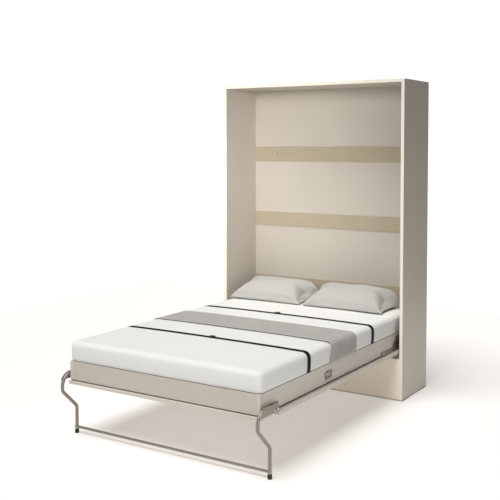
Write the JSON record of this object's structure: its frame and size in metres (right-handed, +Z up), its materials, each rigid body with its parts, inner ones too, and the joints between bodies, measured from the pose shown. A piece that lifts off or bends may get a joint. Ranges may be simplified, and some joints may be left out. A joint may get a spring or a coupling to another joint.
{
  "type": "murphy wall bed",
  "caption": "Wall bed that folds down out of a tall open cabinet, with a padded mattress held by straps, a folding foot leg and gas springs.",
  "frame": {"origin": "on the floor, below the middle of the opened bed's bounding box", "axes": "+Z up, +Y from the foot of the bed towards the wall, +X to the right of someone facing the cabinet"},
  "size_m": [1.453, 2.217, 2.18],
  "materials": {
    "cabinet_board": "matt melamine board, cashmere beige",
    "cross_rail_board": "matt board, a little darker and greener",
    "back_board": "thin matt board",
    "bed_board": "matt board",
    "door_board": "matt melamine board",
    "slat_wood": "sanded bent wood",
    "bracket_steel": "powder coated grey-brown",
    "bolt_steel": "zinc plated",
    "leg_steel": "powder coated taupe",
    "black_plastic": "moulded black",
    "stop_rubber": "soft",
    "spring_black": "black lacquer",
    "spring_rod_chrome": "hard chrome",
    "mattress_knit": "white knitted cover",
    "pillow_cotton": "plain cotton",
    "strap_webbing": "black webbing",
    "runner_weave": "woven throw, greige"
  },
  "bodies": {
    "cabinet": {"side_panel_left": "cabinet_board", "side_panel_right": "cabinet_board", "top_panel": "cabinet_board", "kick_panel": "cabinet_board", "rear_bottom_rail": "cabinet_board", "cross_rail_top": "cross_rail_board", "cross_rail_middle": "cross_rail_board", "cross_rail_lower": "cross_rail_board", "back_panel_top": "back_board", "back_panel_upper": "back_board", "back_panel_lower": "back_board", "back_panel_bottom": "back_board", "cam_fittings": "bolt_steel", "floor_glides": "black_plastic", "pivot_plate_left": "bracket_steel", "pivot_plate_right": "bracket_steel", "pivot_pins": "bolt_steel", "spring_anchors": "bolt_steel", "cabinet_screws": "bolt_steel", "stop_pads": "stop_rubber"},
    "bed": {"rail_foot_left": "bed_board", "rail_foot_right": "bed_board", "rail_head_left": "bed_board", "rail_head_right": "bed_board", "footboard": "bed_board", "head_rail": "bed_board", "centre_beam": "slat_wood", "cross_beams": "slat_wood", "door_panel_foot": "door_board", "door_panel_head": "door_board", "door_cleats": "bracket_steel", "slat_ledgers": "slat_wood", "bed_slats": "slat_wood", "slat_caps": "black_plastic", "pivot_bracket_left": "bracket_steel", "pivot_bracket_right": "bracket_steel", "pivot_bushes": "black_plastic", "rail_joint_plate_left": "bracket_steel", "rail_joint_plate_right": "bracket_steel", "leg_bracket_left": "bracket_steel", "leg_bracket_right": "bracket_steel", "frame_bolts": "bolt_steel", "leg_pivot_bolts": "bolt_steel", "spring_studs": "bolt_steel", "mattress": "mattress_knit", "strap_head": "strap_webbing", "strap_foot": "strap_webbing", "strap_buckles": "black_plastic", "pillow_left": "pillow_cotton", "pillow_right": "pillow_cotton", "bed_runner": "runner_weave"},
    "leg": {"leg_tube_left": "leg_steel", "leg_tube_right": "leg_steel", "leg_crossbar": "leg_steel", "leg_foot_caps": "black_plastic", "leg_bolts": "bolt_steel"},
    "spring_cylinder_left": {"spring_cylinder_left": "spring_black"},
    "spring_cylinder_right": {"spring_cylinder_right": "spring_black"},
    "spring_rod_left": {"spring_rod_left": "spring_rod_chrome"},
    "spring_rod_right": {"spring_rod_right": "spring_rod_chrome"}
  },
  "joints": [
    {"name": "bed_fold", "type": "hinge", "parent": "cabinet", "child": "bed", "pos_m": [0, 0.7215, 0.375], "axis": [-1, 0, 0], "range_deg": [0, 90], "deforming": ["pillow_left", "pillow_right"]},
    {"name": "leg_fold", "type": "hinge", "parent": "bed", "child": "leg", "pos_m": [0, -0.9245, 0.36], "axis": [1, 0, 0], "range_deg": [0, 90]},
    {"name": "spring_swing_left", "type": "hinge", "parent": "cabinet", "child": "spring_cylinder_left", "pos_m": [-0.684, 1.0465, 0.56], "axis": [1, 0, 0], "range_deg": [0, 2]},
    {"name": "spring_stroke_left", "type": "slide", "parent": "spring_cylinder_left", "child": "spring_rod_left", "axis": [0, -0.7724, -0.6351], "range_m": [0, 0.142]},
    {"name": "spring_swing_right", "type": "hinge", "parent": "cabinet", "child": "spring_cylinder_right", "pos_m": [0.684, 1.0465, 0.56], "axis": [1, 0, 0], "range_deg": [0, 2]},
    {"name": "spring_stroke_right", "type": "slide", "parent": "spring_cylinder_right", "child": "spring_rod_right", "axis": [0, -0.7724, -0.6351], "range_m": [0, 0.142]}
  ],
  "couplings": [
    {"joint": "leg_fold", "follows": "bed_fold", "ratio": 1},
    {"joint": "spring_swing_left", "follows": "bed_fold", "ratio": 0.020227},
    {"joint": "spring_stroke_left", "follows": "bed_fold", "m_per_rad": 0.089745},
    {"joint": "spring_swing_right", "follows": "bed_fold", "ratio": 0.020227},
    {"joint": "spring_stroke_right", "follows": "bed_fold", "m_per_rad": 0.089745}
  ]
}
